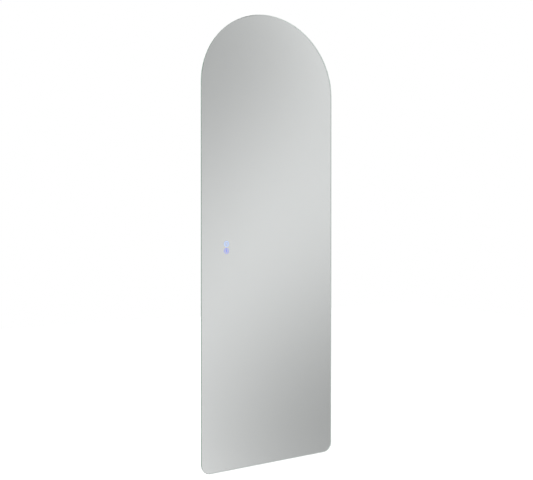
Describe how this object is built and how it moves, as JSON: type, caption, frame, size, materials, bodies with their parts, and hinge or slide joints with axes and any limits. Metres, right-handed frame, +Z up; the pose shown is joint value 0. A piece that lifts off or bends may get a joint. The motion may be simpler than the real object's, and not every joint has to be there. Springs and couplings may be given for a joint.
{
  "type": "lighted bathroom mirror",
  "caption": "Tall arch-top wall mirror with a light channel behind its edge, touch icons, a demister pad and a lift-off hook rail on a wall cleat.",
  "frame": {"origin": "middle of the wall cleat's row of screw slots, on the wall's surface", "axes": "+Z up, +X to the right for someone facing the mirror, -Y out from the wall towards the room"},
  "size_m": [0.5, 0.0379, 1.4998],
  "materials": {
    "float_glass": "polished, with a green edge",
    "silver": "silvered, seen through the glass",
    "film": "woven-backed safety film",
    "foam_tape": "closed-cell foam",
    "anodised_aluminium": "satin anodised",
    "led_tape": "white tape with yellow chips",
    "opal_plastic": "opal, satin",
    "zinc_steel": "bright zinc plate",
    "galvanised_steel": "galvanised, faint spangle",
    "soft_rubber": "matt black",
    "driver_plastic": "fine moulded grain",
    "circuit_board": "green solder mask",
    "ferrite": "dark ferrite with yellow tape",
    "terminal_plastic": "fine moulded grain",
    "block_plastic": "moulded nylon",
    "touch_plastic": "fine moulded grain",
    "lens_acrylic": "light-diffusing acrylic",
    "tinned_brass": "bright",
    "heater_foil": "foil laminate",
    "lead_sheath": "smooth sheath",
    "earth_sheath": "smooth sheath, green and yellow",
    "clip_nylon": "moulded nylon"
  },
  "bodies": {
    "wall_mount": {"wall_cleat": "galvanised_steel"},
    "mirror": {"mirror_glass": "float_glass", "silver_coating": "silver", "safety_film": "film", "bond_tape": "foam_tape", "frame_arch": "anodised_aluminium", "frame_left": "anodised_aluminium", "frame_right": "anodised_aluminium", "frame_bottom": "anodised_aluminium", "led_strip_arch": "led_tape", "led_strip_left": "led_tape", "led_strip_right": "led_tape", "led_strip_bottom": "led_tape", "diffuser_arch": "opal_plastic", "diffuser_left": "opal_plastic", "diffuser_right": "opal_plastic", "diffuser_bottom": "opal_plastic", "corner_plates": "zinc_steel", "splice_plates": "zinc_steel", "cross_rail_upper": "galvanised_steel", "cross_rail_lower": "galvanised_steel", "hook_rail": "galvanised_steel", "gear_tray": "galvanised_steel", "wall_bumpers": "soft_rubber", "driver_case": "driver_plastic", "driver_cover": "driver_plastic", "driver_board": "circuit_board", "driver_transformer": "ferrite", "terminal_box": "terminal_plastic", "cord_clamp": "terminal_plastic", "lid_hinge_pin": "zinc_steel", "terminal_block": "block_plastic", "mains_grommet": "soft_rubber", "lead_grommet": "soft_rubber", "touch_case": "touch_plastic", "touch_back": "touch_plastic", "touch_board": "circuit_board", "touch_lens_light": "lens_acrylic", "touch_lens_demist": "lens_acrylic", "touch_electrodes": "tinned_brass", "demister_pad": "heater_foil", "mains_lead": "lead_sheath", "control_lead": "lead_sheath", "led_lead": "lead_sheath", "demister_lead": "lead_sheath", "earth_lead": "earth_sheath", "earth_stud": "tinned_brass", "cable_clips": "clip_nylon", "frame_screws": "zinc_steel", "rail_screws": "zinc_steel", "hook_screws": "zinc_steel", "tray_screws": "zinc_steel", "driver_screws": "zinc_steel", "terminal_screws": "zinc_steel"},
    "box_lid": {"terminal_lid": "terminal_plastic"}
  },
  "joints": [
    {"name": "lift_off", "type": "slide", "parent": "wall_mount", "child": "mirror", "axis": [0, 0, 1], "range_m": [0, 0.016]},
    {"name": "terminal_lid_hinge", "type": "hinge", "parent": "mirror", "child": "box_lid", "pos_m": [0.10524, -0.0086, -0.6674], "axis": [1, 0, 0], "range_deg": [0, 110]}
  ]
}
